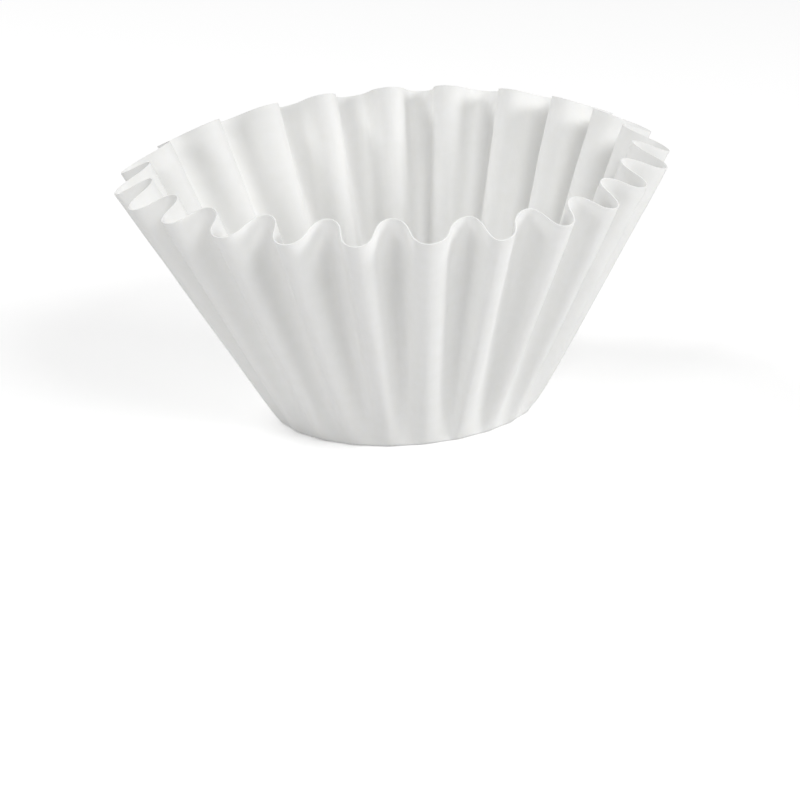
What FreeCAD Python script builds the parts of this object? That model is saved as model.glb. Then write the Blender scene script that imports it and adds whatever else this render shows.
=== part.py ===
import FreeCAD, Part
import math
import os

# Paper coffee filter of the basket kind: one round sheet of filter paper, pressed into a flat
# round base and a fluted wall. Millimetres and degrees, +Z up. The origin is the centre of the
# base's underside, and the near side of the wall faces -Y.

os.makedirs("parts", exist_ok=True)
doc = FreeCAD.newDocument("paper_coffee_filter")

# Driving dimensions: name, value, meaning

SIZES = [
    ("base_diameter", 80, "across the base, over its rounded edge"),
    ("wall_slant", 84.3, "from the base's edge to the rim, along the middle of the wall"),
    ("wall_lean_angle", 25.55, "lean of the middle of the wall away from upright, degrees"),
    ("paper_thickness", 0.3, "creped filter paper, not pressed flat"),
    ("edge_radius", 1, "outside radius where the base turns up into the wall"),
    ("flute_count", 23, "flutes round the wall"),
    ("first_fold_angle", -94.9, "where the nearest inner fold stands, degrees from +X"),
    ("bunching_angle", 4.6, "how far the folds are pushed together, degrees"),
    ("bunching_side_angle", -32.6, "side where the folds are closest, degrees from +X"),
    ("oval_lean_angle", 1.4, "extra lean of the wall on its two wide sides, degrees"),
    ("oval_side_angle", -24, "one of the two wide sides, degrees from +X"),
]

sheet = doc.addObject("Spreadsheet::Sheet", "sizes")
for row, (name, value, meaning) in enumerate(SIZES, start=1):
    sheet.set("A%d" % row, name)
    sheet.set("B%d" % row, str(value))
    sheet.set("C%d" % row, meaning)
    sheet.setAlias("B%d" % row, name)
doc.recompute()

SIZE = {name: float(sheet.get(name)) for name, value, meaning in SIZES}


# Folds that pressing and packing have left out of line with the even pattern: turn round the
# axis and lean, in degrees. Fold 0 is the nearest inner fold, fold 1 the outer fold on its +X
# side, and so on round the wall.

FOLDS_OUT_OF_LINE = {
    2: (2.5, 1), 3: (0, 1), 4: (2, 1.5), 5: (0.5, 0.5), 6: (0.5, 1.5), 8: (-1, 0),
    9: (-0.5, -1), 10: (-1, -1), 13: (-1.5, 1), 14: (-1, 0), 15: (-1.5, 1), 17: (-1, 0.5),
    21: (1, -0.5), 22: (1.5, 0), 23: (1, 0), 25: (1.5, 0), 28: (-2.5, 0), 30: (-1.5, -0.5),
    32: (1.5, 0), 33: (3, 0.5), 34: (1.5, 0), 35: (2.5, 0.5), 36: (-1, 0), 39: (-1, -0.5),
    40: (-1, 0.5),
}
IN_LINE = (0, 0)
TURN, LEAN = 0, 1

# How finely the folds are drawn. The wall's rings lie closer together near the base, where the
# paper turns fastest from round to fluted.

POINTS_PER_FLUTE = 16
WALL_RINGS = 5
CROWDING_EXPONENT = 1.6

# Share of a flute, and of the wall's length, over which the paper's slope is taken

SLOPE_STEP = 0.001

# Terms of the series for the flutes' curve, enough for the steepest flank

BESSEL_TERMS = 8

FLUTES = int(SIZE["flute_count"])
FOLDS = 2 * FLUTES
RING_POINTS = FLUTES * POINTS_PER_FLUTE
FLAT_RADIUS = SIZE["base_diameter"] / 2 - SIZE["edge_radius"]


# Form of the paper. A share is a part of the way round the wall, counted in flutes, so the
# folds stay on whole and half flutes however they are bunched.

def stray(share, kind):
    """Turn or lean of the paper away from the even pattern, in radians, eased between folds."""
    folds_on = FOLDS * share
    fold = math.floor(folds_on)
    here, after = (
        FOLDS_OUT_OF_LINE.get(n % FOLDS, IN_LINE)[kind] for n in (fold, fold + 1))
    part_way = folds_on - fold
    return math.radians(here + (after - here) * part_way**2 * (3 - 2 * part_way))


def direction(share):
    """Angle round the axis, in radians."""
    even = math.radians(SIZE["first_fold_angle"]) + 2 * math.pi * share
    push = math.radians(SIZE["bunching_angle"])
    bunched = even - push * math.sin(even - math.radians(SIZE["bunching_side_angle"]))
    return bunched + stray(share, TURN)


def lean(share):
    """Lean of the middle of the wall away from upright, in radians."""
    from_wide_side = direction(share) - math.radians(SIZE["oval_side_angle"])
    oval = SIZE["wall_lean_angle"] + SIZE["oval_lean_angle"] * math.cos(2 * from_wide_side)
    return math.radians(oval) + stray(share, LEAN)


def outward(share):
    angle = direction(share)
    return FreeCAD.Vector(math.cos(angle), math.sin(angle), 0)


def bessel(order, swing):
    """Bessel function of the first kind, as the first terms of its series."""
    half = swing / 2
    return sum(
        (-1)**k * half**(2 * k + order) / (math.factorial(k) * math.factorial(k + order))
        for k in range(BESSEL_TERMS))


def flute(share, on_sheet, radius):
    """Where the paper lies in its flute: how far round from its even place, as a share, and how
    far out from the middle of the wall. A circle of the flat sheet is pressed into a smaller
    ring, and the flutes take up the length that is spare. The paper bends as evenly as it can,
    so its angle swings like a sine along the sheet, and Bessel functions give that curve."""
    spare = max(0, 1 - radius / on_sheet)
    swing = 2 * math.sqrt(spare + spare**2 / 4 + spare**3 / 10)
    depth, crowding, roundness = (bessel(n, swing) / bessel(0, swing) for n in (1, 2, 3))
    phase = 2 * math.pi * FLUTES * share
    aside = crowding * math.sin(2 * phase) / (2 * math.pi * FLUTES)
    wave = 2 * depth * math.cos(phase) + 2 / 3 * roundness * math.cos(3 * phase)
    return aside, -radius / FLUTES * wave


def outer_point(share, bend, run):
    """A point of the outer face: round the bend, which is 0 in the base and 1 in the wall, then
    a run up the wall, and out or in with the flutes."""
    angle = bend * (math.pi / 2 - lean(share))
    radius = FLAT_RADIUS + SIZE["edge_radius"] * math.sin(angle) + run * math.cos(angle)
    height = SIZE["edge_radius"] * (1 - math.cos(angle)) + run * math.sin(angle)
    aside, out = flute(share, FLAT_RADIUS + SIZE["edge_radius"] * angle + run, radius)
    radius += out * math.sin(angle)
    height -= out * math.cos(angle)
    return outward(share + aside) * radius + FreeCAD.Vector(0, 0, height)


def paper_point(share, bend, run, depth):
    """The point at a depth under the outer face, square to the paper."""
    step_round = SLOPE_STEP / FLUTES
    step_up = SLOPE_STEP * SIZE["wall_slant"]
    here = outer_point(share, bend, run)
    around = outer_point(share + step_round, bend, run) - outer_point(share - step_round, bend, run)
    upward = outer_point(share, bend, run + step_up) - here
    return here + upward.cross(around).normalize() * depth


def ring(bend, run, depth):
    return [paper_point(i / RING_POINTS, bend, run, depth) for i in range(RING_POINTS)]


def skin(depth):
    """Rings of points at a depth under the outer face, from the flat base up to the rim."""
    steps = [i / WALL_RINGS for i in range(WALL_RINGS + 1)]
    wall = [ring(1, SIZE["wall_slant"] * step**CROWDING_EXPONENT, depth) for step in steps]
    return [ring(0, 0, depth)] + wall


# Faces between the rings

def polygon(points):
    return Part.Face(Part.makePolygon(points + points[:1]))


def band(lower, upper):
    """Small flat faces between two rings, split alike on both sides of each fold."""
    faces = []
    for i in range(RING_POINTS):
        after = (i + 1) % RING_POINTS
        towards_inner_fold = i % POINTS_PER_FLUTE >= POINTS_PER_FLUTE / 2
        if towards_inner_fold:
            faces.append(polygon([lower[i], lower[after], upper[i]]))
            faces.append(polygon([lower[after], upper[after], upper[i]]))
        else:
            faces.append(polygon([lower[i], lower[after], upper[after]]))
            faces.append(polygon([lower[i], upper[after], upper[i]]))
    return faces


def paper_solid():
    outer = skin(0)
    inner = skin(SIZE["paper_thickness"])
    faces = [polygon(outer[0]), polygon(inner[0])]
    faces += band(outer[-1], inner[-1])
    for rings in (outer, inner):
        for lower, upper in zip(rings, rings[1:]):
            faces += band(lower, upper)
    shape = Part.makeCompound(faces)
    shape.sewShape()
    solid = Part.makeSolid(shape.Shells[0])
    if solid.Volume < 0:
        solid.reverse()
    return solid


# Sub-parts

paper = doc.addObject("Part::Feature", "coffee_filter")
paper.Label = "coffee_filter"
paper.Shape = paper_solid()
paper.Placement = FreeCAD.Placement()
doc.recompute()

SUB_PARTS = [paper]

for item in doc.Objects:
    if "Invalid" in item.State or "Error" in item.State:
        raise RuntimeError("failed: " + item.Label)

for item in SUB_PARTS:
    if item.Shape.isNull() or not item.Shape.isValid():
        raise RuntimeError("bad shape: " + item.Label)

for item in SUB_PARTS:
    item.Shape.exportStep("parts/%s.step" % item.Label)
    print(item.Label, "volume", round(item.Shape.Volume, 1), "box", item.Shape.BoundBox)
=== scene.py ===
import math

import bpy
from bpy.props import FloatProperty, FloatVectorProperty, IntProperty, PointerProperty
from mathutils import Matrix, Vector, noise


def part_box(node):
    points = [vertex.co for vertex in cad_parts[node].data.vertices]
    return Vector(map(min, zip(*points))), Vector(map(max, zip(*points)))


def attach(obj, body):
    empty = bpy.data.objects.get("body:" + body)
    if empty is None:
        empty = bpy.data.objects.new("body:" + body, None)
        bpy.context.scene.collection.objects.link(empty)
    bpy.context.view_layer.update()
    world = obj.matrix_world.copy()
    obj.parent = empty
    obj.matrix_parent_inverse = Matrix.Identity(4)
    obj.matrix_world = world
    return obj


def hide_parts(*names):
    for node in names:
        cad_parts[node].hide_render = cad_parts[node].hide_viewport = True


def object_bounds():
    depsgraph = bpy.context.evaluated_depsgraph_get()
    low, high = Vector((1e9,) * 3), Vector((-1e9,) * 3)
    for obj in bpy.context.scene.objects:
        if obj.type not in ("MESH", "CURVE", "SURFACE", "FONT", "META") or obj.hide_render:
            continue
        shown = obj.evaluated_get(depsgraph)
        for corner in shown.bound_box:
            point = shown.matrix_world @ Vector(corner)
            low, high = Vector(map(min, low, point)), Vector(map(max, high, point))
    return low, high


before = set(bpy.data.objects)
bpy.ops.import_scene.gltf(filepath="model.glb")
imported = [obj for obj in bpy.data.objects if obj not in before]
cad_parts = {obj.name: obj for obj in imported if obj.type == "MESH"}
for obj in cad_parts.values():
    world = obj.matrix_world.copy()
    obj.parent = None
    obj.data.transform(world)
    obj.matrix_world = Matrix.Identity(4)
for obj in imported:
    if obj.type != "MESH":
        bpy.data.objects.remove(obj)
CAD_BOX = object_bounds()

bl_info = {
    "name": "Paper coffee filter",
    "version": (1, 0, 0),
    "blender": (4, 5, 0),
    "location": "View3D > Sidebar > Coffee filter",
    "description": "Folds a fluted basket filter from one sheet of creped paper and lights it",
    "category": "Object",
}

MM = 0.001


def linear(hex_colour):
    """An sRGB hex colour as linear red, green, blue."""
    parts = [int(hex_colour[i:i + 2], 16) / 255 for i in (1, 3, 5)]
    return tuple(c / 12.92 if c <= 0.04045 else ((c + 0.055) / 1.055) ** 2.4 for c in parts)


# Settings that a user would change

class FilterSizes(bpy.types.PropertyGroup):
    base_diameter: FloatProperty(
        name="Base", description="Across the flat base, over its rounded edge",
        default=80 * MM, min=10 * MM, unit="LENGTH")
    wall_slant: FloatProperty(
        name="Wall", description="From the base's edge to the rim, along the middle of the wall",
        default=84.3 * MM, min=10 * MM, unit="LENGTH")
    wall_lean: FloatProperty(
        name="Lean", description="Lean of the middle of the wall away from upright",
        default=math.radians(25.55), subtype="ANGLE")
    thickness: FloatProperty(
        name="Paper", description="Thickness of the creped paper",
        default=0.3 * MM, min=0.05 * MM, unit="LENGTH")
    edge_radius: FloatProperty(
        name="Edge", description="Outside radius where the base turns up into the wall",
        default=1 * MM, min=0.1 * MM, unit="LENGTH")
    flutes: IntProperty(
        name="Flutes", description="Flutes round the wall", default=23, min=3)
    first_fold: FloatProperty(
        name="First fold", description="Where the nearest inner fold stands, from +X",
        default=math.radians(-94.9), subtype="ANGLE")
    bunching: FloatProperty(
        name="Bunching", description="How far the folds are pushed together",
        default=math.radians(4.6), subtype="ANGLE")
    bunching_side: FloatProperty(
        name="Bunched side", description="Where the folds are closest, from +X",
        default=math.radians(-32.6), subtype="ANGLE")
    oval: FloatProperty(
        name="Oval", description="Extra lean of the wall on its two wide sides",
        default=math.radians(1.4), subtype="ANGLE")
    oval_side: FloatProperty(
        name="Wide side", description="One of the two wide sides, from +X",
        default=math.radians(-24), subtype="ANGLE")
    buckle: FloatProperty(
        name="Buckle", description="How far the paper strays from a true fold near the rim",
        default=0.25 * MM, min=0, unit="LENGTH")


class PaperLook(bpy.types.PropertyGroup):
    colour: FloatVectorProperty(
        name="Paper", description="Bleached fibre seen flat on", subtype="COLOR",
        size=3, default=linear("#F0F0EF"))
    thin_colour: FloatVectorProperty(
        name="Cloud", description="The cloudier, slightly warmer places of the sheet",
        subtype="COLOR", size=3, default=linear("#EEEEEC"))
    crepe_spacing: FloatProperty(
        name="Crepe", description="Spacing of the crepe wrinkles",
        default=0.9 * MM, unit="LENGTH")
    crepe_depth: FloatProperty(
        name="Crepe depth", description="Height of the crepe wrinkles",
        default=0.03 * MM, unit="LENGTH")
    cloud_size: FloatProperty(
        name="Cloud size", description="Size of the fibre clouds in the sheet",
        default=4 * MM, unit="LENGTH")


class StudioLight(bpy.types.PropertyGroup):
    floor_colour: FloatVectorProperty(
        name="Floor", description="Matt white board", subtype="COLOR",
        size=3, default=linear("#E4E4E4"))
    key_power: FloatProperty(
        name="Key", description="Soft lamp above the camera's right", default=5.0, min=0,
        unit="POWER")
    right_power: FloatProperty(
        name="Right", description="Soft low lamp at the right", default=6.0, min=0,
        unit="POWER")
    left_power: FloatProperty(
        name="Left", description="Weak soft low lamp at the left front", default=3.0, min=0,
        unit="POWER")
    back_power: FloatProperty(
        name="Back", description="Soft lamp high at the left back", default=5.8, min=0,
        unit="POWER")
    room_level: FloatProperty(
        name="Room", description="Level of the white room's light", default=0.25, min=0)
    floor_glow: FloatProperty(
        name="Floor white", description="How much whiter the floor is seen than it is lit",
        default=0.38, min=0)


# Folds that pressing and packing have left out of line with the even pattern: turn round the
# axis and lean, in degrees. Fold 0 is the nearest inner fold, fold 1 the outer fold on its +X
# side, and so on round the wall.

FOLDS_OUT_OF_LINE = {
    2: (2.5, 1), 3: (0, 1), 4: (2, 1.5), 5: (0.5, 0.5), 6: (0.5, 1.5), 8: (-1, 0),
    9: (-0.5, -1), 10: (-1, -1), 13: (-1.5, 1), 14: (-1, 0), 15: (-1.5, 1), 17: (-1, 0.5),
    21: (1, -0.5), 22: (1.5, 0), 23: (1, 0), 25: (1.5, 0), 28: (-2.5, 0), 30: (-1.5, -0.5),
    32: (1.5, 0), 33: (3, 0.5), 34: (1.5, 0), 35: (2.5, 0.5), 36: (-1, 0), 39: (-1, -0.5),
    40: (-1, 0.5),
}
IN_LINE = (0, 0)
TURN, LEAN = 0, 1

# How finely the paper is drawn: rings of points in the flat base, round its edge and up the
# wall, where they lie closer together near the base

POINTS_PER_FLUTE = 20
BASE_RINGS = 6
BEND_RINGS = 4
WALL_RINGS = 38
CROWDING_EXPONENT = 1.4

# Terms of the series for the flutes' curve, enough for the steepest flank

BESSEL_TERMS = 8

# Soft dents of two sizes in the free paper, and how fast they fade from the rim to the base

DENT_SIZE = 14 * MM
SMALL_DENT_SIZE = 5 * MM
SMALL_DENT_SHARE = 0.35
DENT_FADE_EXPONENT = 1.5

# Height of one level of the plain wall before it is pressed, and the sharpest turn that is shaded
# smooth, so that the two edges of the rim stay crisp

LEVEL_STEP = 1 * MM
SMOOTH_ANGLE = math.radians(40)

# Where the middle of the flat sheet lies in its UV map

UV_MIDDLE = 0.5


# Form of the paper, the same as in the part's source. A share is a part of the way round the
# wall, counted in flutes, so the folds stay on whole and half flutes however they are bunched.

def stray(sizes, share, kind):
    """Turn or lean of the paper away from the even pattern, eased between the folds."""
    folds = 2 * sizes.flutes
    fold = math.floor(folds * share)
    here, after = (
        FOLDS_OUT_OF_LINE.get(n % folds, IN_LINE)[kind] for n in (fold, fold + 1))
    part_way = folds * share - fold
    return math.radians(here + (after - here) * part_way ** 2 * (3 - 2 * part_way))


def even_angle(sizes, share):
    """Angle round the axis in the even pattern, and on the flat sheet."""
    return sizes.first_fold + 2 * math.pi * share


def direction(sizes, share):
    """Angle round the axis in the folded paper."""
    even = even_angle(sizes, share)
    bunched = even - sizes.bunching * math.sin(even - sizes.bunching_side)
    return bunched + stray(sizes, share, TURN)


def lean(sizes, share):
    """Lean of the middle of the wall away from upright."""
    from_wide_side = direction(sizes, share) - sizes.oval_side
    oval = sizes.wall_lean + sizes.oval * math.cos(2 * from_wide_side)
    return oval + stray(sizes, share, LEAN)


def around(angle, radius, height):
    return Vector((radius * math.cos(angle), radius * math.sin(angle), height))


def flat_radius(sizes):
    """Radius of the flat part of the base."""
    return sizes.base_diameter / 2 - sizes.edge_radius


def sheet_radius(sizes):
    """Radius of the whole sheet before it is folded."""
    return flat_radius(sizes) + sizes.edge_radius * math.pi / 2 + sizes.wall_slant


def bessel(order, swing):
    """Bessel function of the first kind, as the first terms of its series."""
    half = swing / 2
    return sum(
        (-1) ** k * half ** (2 * k + order) / (math.factorial(k) * math.factorial(k + order))
        for k in range(BESSEL_TERMS))


def flute(sizes, share, on_sheet, radius):
    """Where the paper lies in its flute: how far round from its even place, as a share, and how
    far out from the middle of the wall. A circle of the flat sheet is pressed into a smaller
    ring, and the flutes take up the length that is spare. The paper bends as evenly as it can,
    so its angle swings like a sine along the sheet, and Bessel functions give that curve. The
    swing that takes up the spare length is the first terms of a series."""
    spare = max(0, 1 - radius / on_sheet)
    swing = 2 * math.sqrt(spare + spare ** 2 / 4 + spare ** 3 / 10)
    depth, crowding, roundness = (bessel(n, swing) / bessel(0, swing) for n in (1, 2, 3))
    phase = 2 * math.pi * sizes.flutes * share
    aside = crowding * math.sin(2 * phase) / (2 * math.pi * sizes.flutes)
    wave = 2 * depth * math.cos(phase) + 2 / 3 * roundness * math.cos(3 * phase)
    return aside, -radius / sizes.flutes * wave


def wall_place(sizes, share, bend, run):
    """A point of the outer face, round the bend and a run up the wall, and its distance from
    the middle of the flat sheet."""
    angle = bend * (math.pi / 2 - lean(sizes, share))
    on_sheet = flat_radius(sizes) + sizes.edge_radius * angle + run
    radius = flat_radius(sizes) + sizes.edge_radius * math.sin(angle) + run * math.cos(angle)
    height = sizes.edge_radius * (1 - math.cos(angle)) + run * math.sin(angle)
    aside, out = flute(sizes, share, on_sheet, radius)
    radius += out * math.sin(angle)
    height -= out * math.cos(angle)
    return around(direction(sizes, share + aside), radius, height), on_sheet


def wall_levels(sizes):
    """Bend and run of each ring above the flat base, lowest first."""
    bends = [((i + 1) / BEND_RINGS, 0) for i in range(BEND_RINGS)]
    steps = [((i + 1) / WALL_RINGS) ** CROWDING_EXPONENT for i in range(WALL_RINGS)]
    return bends + [(1, sizes.wall_slant * step) for step in steps]


# Modelling

def deselect():
    bpy.ops.object.select_all(action="DESELECT")


def start_piece(name):
    """Takes the primitive that was just added as a piece of that name."""
    piece = bpy.context.active_object
    piece.name = name
    piece.data.name = name
    return piece


def add_flat_disc(sizes):
    """The base, as rings of points with one for each point round the wall."""
    deselect()
    bpy.ops.mesh.primitive_circle_add(
        vertices=sizes.flutes * POINTS_PER_FLUTE, radius=flat_radius(sizes), fill_type="NGON")
    piece = start_piece("filter_paper_sheet")
    bpy.ops.object.mode_set(mode="EDIT")
    for _ in range(BASE_RINGS):
        bpy.ops.mesh.inset(thickness=flat_radius(sizes) / (BASE_RINGS + 1), depth=0)
    bpy.ops.mesh.poke()
    return piece


def draw_up_wall(sizes):
    """Extrudes the disc's edge into a plain upright wall, one level for each ring."""
    bpy.ops.mesh.select_all(action="DESELECT")
    bpy.ops.mesh.select_mode(type="EDGE")
    bpy.ops.mesh.select_non_manifold(
        extend=False, use_wire=False, use_boundary=True, use_multi_face=False,
        use_non_contiguous=False, use_verts=False)
    for _ in wall_levels(sizes):
        bpy.ops.mesh.extrude_edges_move(TRANSFORM_OT_translate={"value": (0, 0, LEVEL_STEP)})
    bpy.ops.mesh.select_all(action="SELECT")
    bpy.ops.mesh.normals_make_consistent(inside=False)
    bpy.ops.object.mode_set(mode="OBJECT")


def press_flutes(piece, sizes):
    """Moves each point of the plain wall to its place in the folded sheet, and keeps its place
    on the flat sheet as a UV map, so that the crepe runs straight across the sheet."""
    levels = wall_levels(sizes)
    sheet_width = 2 * sheet_radius(sizes)
    flat_places = []
    for vertex in piece.data.vertices:
        share = math.atan2(vertex.co.y, vertex.co.x) / (2 * math.pi)
        level = round(vertex.co.z / LEVEL_STEP)
        if level:
            vertex.co, on_sheet = wall_place(sizes, share, *levels[level - 1])
        else:
            on_sheet = math.hypot(vertex.co.x, vertex.co.y)
            vertex.co = around(direction(sizes, share), on_sheet, 0)
        flat_places.append(around(even_angle(sizes, share), on_sheet / sheet_width, 0))
    flat_sheet = piece.data.uv_layers.new(name="flat_sheet")
    for loop in piece.data.loops:
        place = flat_places[loop.vertex_index]
        flat_sheet.uv[loop.index].vector = (UV_MIDDLE + place.x, UV_MIDDLE + place.y)


def buckle(piece, sizes):
    """Small soft dents, none in the base and deepest at the free rim."""
    piece.data.update()
    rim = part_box("coffee_filter")[1][2]
    moves = []
    for vertex in piece.data.vertices:
        large = noise.noise(vertex.co / DENT_SIZE)
        small = noise.noise(vertex.co / SMALL_DENT_SIZE)
        dent = sizes.buckle * (large + SMALL_DENT_SHARE * small)
        fade = max(0, vertex.co.z / rim) ** DENT_FADE_EXPONENT
        moves.append(vertex.normal * dent * fade)
    for vertex, move in zip(piece.data.vertices, moves):
        vertex.co += move


def give_thickness(piece, sizes):
    """Thickens the sheet inwards, so that the outer face keeps its place."""
    paper = piece.modifiers.new("paper", "SOLIDIFY")
    paper.thickness = sizes.thickness
    paper.offset = -1
    paper.use_even_offset = True
    bpy.ops.object.modifier_apply(modifier=paper.name)


# Materials

WHITE = (1, 1, 1, 1)


def add_node(tree, kind, settings=None, links=None):
    """Adds a node. Settings are its properties or input values, links its inputs' sources."""
    node = tree.nodes.new(kind)
    for key, value in (settings or {}).items():
        if isinstance(key, str) and hasattr(node, key):
            setattr(node, key, value)
        else:
            node.inputs[key].default_value = value
    for key, source in (links or {}).items():
        tree.links.new(source, node.inputs[key])
    return node


def new_material(name):
    material = bpy.data.materials.new(name)
    material.use_nodes = True
    material.node_tree.nodes.clear()
    return material, material.node_tree


# The paper's patterns: how many times longer than wide a wrinkle is, what part of the relief the
# clouds have, and where in their noise they begin and end

CREPE_LENGTH_RATIO = 7
CLOUD_RELIEF = 0.3
CLOUD_BEGINS = 0.35
CLOUD_ENDS = 0.7


def creped_filter_paper(sizes, look):
    """Bleached cellulose, wet-laid and creped, uncalendered: matt, soft, a little see-through,
    with fine wrinkles straight across the sheet and faint clouds of fibre. Real ones would be
    too fine to show in the render, so both are drawn as coarse as they need to show."""
    material, tree = new_material("creped_filter_paper")
    sheet_width = 2 * sheet_radius(sizes)
    place = add_node(tree, "ShaderNodeUVMap", {"uv_map": "flat_sheet"})
    across_crepe = sheet_width / look.crepe_spacing
    crepe_place = add_node(
        tree, "ShaderNodeMapping",
        {"Scale": (across_crepe, across_crepe / CREPE_LENGTH_RATIO, 1)},
        {"Vector": place.outputs["UV"]})
    crepe = add_node(
        tree, "ShaderNodeTexNoise",
        {"Scale": 1.0, "Detail": 3.0, "Roughness": 0.55},
        {"Vector": crepe_place.outputs["Vector"]})
    clouds = add_node(
        tree, "ShaderNodeTexNoise",
        {"Scale": sheet_width / look.cloud_size, "Detail": 5.0, "Roughness": 0.6},
        {"Vector": place.outputs["UV"]})
    cloud_share = add_node(
        tree, "ShaderNodeMapRange",
        {"From Min": CLOUD_BEGINS, "From Max": CLOUD_ENDS}, {"Value": clouds.outputs["Fac"]})
    colour = add_node(
        tree, "ShaderNodeMix",
        {"data_type": "RGBA", 6: (*look.colour, 1), 7: (*look.thin_colour, 1)},
        {"Factor": cloud_share.outputs["Result"]})
    relief = add_node(
        tree, "ShaderNodeMath",
        {"operation": "MULTIPLY_ADD", 1: CLOUD_RELIEF},
        {0: clouds.outputs["Fac"], 2: crepe.outputs["Fac"]})
    bump = add_node(
        tree, "ShaderNodeBump",
        {"Strength": 1.0, "Distance": look.crepe_depth}, {"Height": relief.outputs["Value"]})
    paper = add_node(
        tree, "ShaderNodeBsdfPrincipled",
        {"Roughness": 0.82, "IOR": 1.45, "Specular IOR Level": 0.3,
         "Subsurface Weight": 0.2, "Subsurface Radius": (1.0, 0.95, 0.85),
         "Subsurface Scale": 0.6 * MM},
        {"Base Color": colour.outputs[2], "Normal": bump.outputs["Normal"]})
    add_node(tree, "ShaderNodeOutputMaterial", links={"Surface": paper.outputs["BSDF"]})
    return material


def seen_directly(tree):
    """1 on the rays of the camera, of gloss and of see-through things, and 0 on soft light."""
    rays = add_node(tree, "ShaderNodeLightPath")
    seen = add_node(
        tree, "ShaderNodeMath", {"operation": "MAXIMUM"},
        {0: rays.outputs["Is Camera Ray"], 1: rays.outputs["Is Glossy Ray"]})
    through = add_node(
        tree, "ShaderNodeMath", {"operation": "MAXIMUM"},
        {0: seen.outputs["Value"], 1: rays.outputs["Is Transmission Ray"]})
    return through.outputs["Value"]


def white_table(studio):
    """Matt painted board. Seen directly or in gloss it is a little whiter than it is lit, and the
    soft light that it throws back stays as it is lit."""
    material, tree = new_material("white_table")
    board = add_node(
        tree, "ShaderNodeBsdfPrincipled",
        {"Base Color": (*studio.floor_colour, 1), "Roughness": 0.9, "Specular IOR Level": 0.0})
    glow = add_node(tree, "ShaderNodeEmission", {"Color": WHITE, "Strength": studio.floor_glow})
    whiter = add_node(tree, "ShaderNodeAddShader", links={0: board.outputs[0], 1: glow.outputs[0]})
    either = add_node(
        tree, "ShaderNodeMixShader",
        links={0: seen_directly(tree), 1: board.outputs[0], 2: whiter.outputs[0]})
    add_node(tree, "ShaderNodeOutputMaterial", links={"Surface": either.outputs[0]})
    return material


def white_room(studio):
    """Even light from all round, and a white background for the camera."""
    world = bpy.data.worlds.new("white_room")
    bpy.context.scene.world = world
    world.use_nodes = True
    tree = world.node_tree
    tree.nodes.clear()
    light = add_node(tree, "ShaderNodeBackground", {"Color": WHITE, "Strength": studio.room_level})
    backdrop = add_node(tree, "ShaderNodeBackground", {"Color": WHITE, "Strength": 1.0})
    either = add_node(
        tree, "ShaderNodeMixShader",
        links={0: seen_directly(tree), 1: light.outputs[0], 2: backdrop.outputs[0]})
    add_node(tree, "ShaderNodeOutputWorld", links={"Surface": either.outputs[0]})


# Stage

# The camera, as fitted to the fold tips in the photograph: it stands on the -Y side, looks down
# by CAMERA_DROP and is rolled by CAMERA_ROLL, because the photographed filter leans. The focal
# length is in pixels of the picture.

CAMERA_DISTANCE = 1.4
CAMERA_DROP = math.radians(19.45)
CAMERA_ROLL = math.radians(3.71)
CAMERA_ASIDE = 1.95 * MM
CAMERA_UP = -0.32 * MM
SENSOR_WIDTH = 36 * MM
FOCAL_LENGTH_PIXELS = 4604
PICTURE_WIDTH = 800

# The lamps all stand at LAMP_DISTANCE from the middle of the filter. Their places are the turn
# from +X and the rise from level, in degrees.

LAMP_DISTANCE = 1.25
LAMP_WIDTH = 0.4
LAMP_PLACES = {
    "key_lamp": (-60, 40),
    "right_lamp": (-20, 22),
    "left_lamp": (-130, 22),
    "back_lamp": (150, 50),
}

# The floor reaches past the picture on every side, and lies just clear of the base

FLOOR_WIDTH = 8
FLOOR_GAP = 0.1 * MM


def add_camera():
    """Stands the camera so that the origin falls aside and above the picture's middle."""
    level_right = Vector((1, 0, 0))
    level_up = Vector((0, math.sin(CAMERA_DROP), math.cos(CAMERA_DROP)))
    ahead = Vector((0, math.cos(CAMERA_DROP), -math.sin(CAMERA_DROP)))
    right = level_right * math.cos(CAMERA_ROLL) - level_up * math.sin(CAMERA_ROLL)
    up = level_right * math.sin(CAMERA_ROLL) + level_up * math.cos(CAMERA_ROLL)
    place = -CAMERA_ASIDE * right - CAMERA_UP * up - CAMERA_DISTANCE * ahead
    deselect()
    bpy.ops.object.camera_add(location=place)
    camera = bpy.context.active_object
    camera.name = "camera"
    axes = Matrix((right, up, -ahead)).transposed()
    camera.matrix_world = Matrix.Translation(place) @ axes.to_4x4()
    camera.data.sensor_width = SENSOR_WIDTH / MM
    camera.data.lens = FOCAL_LENGTH_PIXELS / PICTURE_WIDTH * SENSOR_WIDTH / MM
    bpy.context.scene.camera = camera


def add_lamp(name, power):
    """A square soft lamp that points at the middle of the filter."""
    turn, rise = (math.radians(angle) for angle in LAMP_PLACES[name])
    middle = (CAD_BOX[0] + CAD_BOX[1]) / 2
    place = middle + around(turn, LAMP_DISTANCE * math.cos(rise), LAMP_DISTANCE * math.sin(rise))
    deselect()
    bpy.ops.object.light_add(type="AREA", location=place)
    lamp = bpy.context.active_object
    lamp.name = name
    lamp.data.size = LAMP_WIDTH
    lamp.data.energy = power
    lamp.rotation_euler = (middle - place).to_track_quat("-Z", "Y").to_euler()


def add_floor(studio):
    deselect()
    bpy.ops.mesh.primitive_plane_add(size=FLOOR_WIDTH, location=(0, 0, -FLOOR_GAP))
    floor = start_piece("floor")
    floor.data.materials.append(white_table(studio))


# Operators

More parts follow.
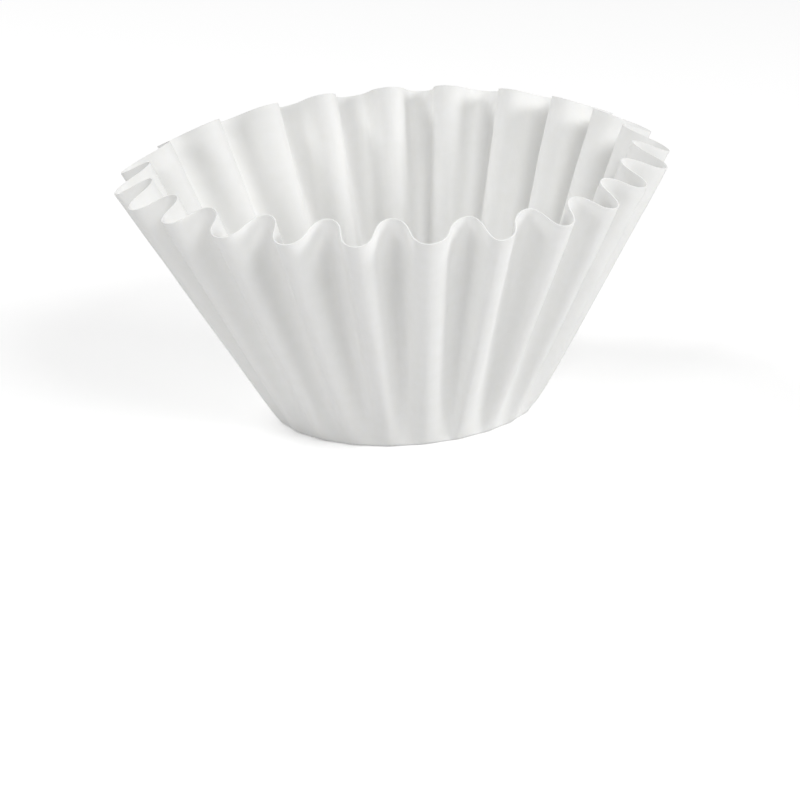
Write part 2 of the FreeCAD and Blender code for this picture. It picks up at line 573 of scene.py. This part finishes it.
class OBJECT_OT_filter_paper(bpy.types.Operator):
    """Fold the fluted filter from one round sheet of creped paper"""
    bl_idname = "object.filter_paper_add"
    bl_label = "Folded paper"

    def execute(self, context):
        sizes = context.scene.filter_sizes
        piece = add_flat_disc(sizes)
        draw_up_wall(sizes)
        press_flutes(piece, sizes)
        buckle(piece, sizes)
        give_thickness(piece, sizes)
        bpy.ops.object.shade_smooth_by_angle(angle=SMOOTH_ANGLE)
        piece.data.materials.append(creped_filter_paper(sizes, context.scene.paper_look))
        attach(piece, "root")
        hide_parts("coffee_filter")
        return {"FINISHED"}


class OBJECT_OT_filter_stage(bpy.types.Operator):
    """Add the white table, the room light, the lamps and the camera"""
    bl_idname = "object.filter_stage_add"
    bl_label = "Table, light and camera"

    def execute(self, context):
        studio = context.scene.studio_light
        context.scene.view_settings.view_transform = "Standard"
        add_floor(studio)
        white_room(studio)
        add_lamp("key_lamp", studio.key_power)
        add_lamp("right_lamp", studio.right_power)
        add_lamp("left_lamp", studio.left_power)
        add_lamp("back_lamp", studio.back_power)
        add_camera()
        return {"FINISHED"}


class VIEW3D_PT_paper_coffee_filter(bpy.types.Panel):
    bl_label = "Paper coffee filter"
    bl_space_type = "VIEW_3D"
    bl_region_type = "UI"
    bl_category = "Coffee filter"

    def draw(self, context):
        scene = context.scene
        for settings in (scene.filter_sizes, scene.paper_look, scene.studio_light):
            box = self.layout.box()
            for name in settings.__annotations__:
                box.prop(settings, name)
        self.layout.operator(OBJECT_OT_filter_paper.bl_idname)
        self.layout.operator(OBJECT_OT_filter_stage.bl_idname)


CLASSES = (
    FilterSizes,
    PaperLook,
    StudioLight,
    OBJECT_OT_filter_paper,
    OBJECT_OT_filter_stage,
    VIEW3D_PT_paper_coffee_filter,
)


def register():
    for cls in CLASSES:
        bpy.utils.register_class(cls)
    bpy.types.Scene.filter_sizes = PointerProperty(type=FilterSizes)
    bpy.types.Scene.paper_look = PointerProperty(type=PaperLook)
    bpy.types.Scene.studio_light = PointerProperty(type=StudioLight)


def unregister():
    del bpy.types.Scene.filter_sizes
    del bpy.types.Scene.paper_look
    del bpy.types.Scene.studio_light
    for cls in reversed(CLASSES):
        bpy.utils.unregister_class(cls)


def main():
    register()
    bpy.ops.object.filter_paper_add()
    bpy.ops.object.filter_stage_add()


if __name__ == "__main__":
    main()
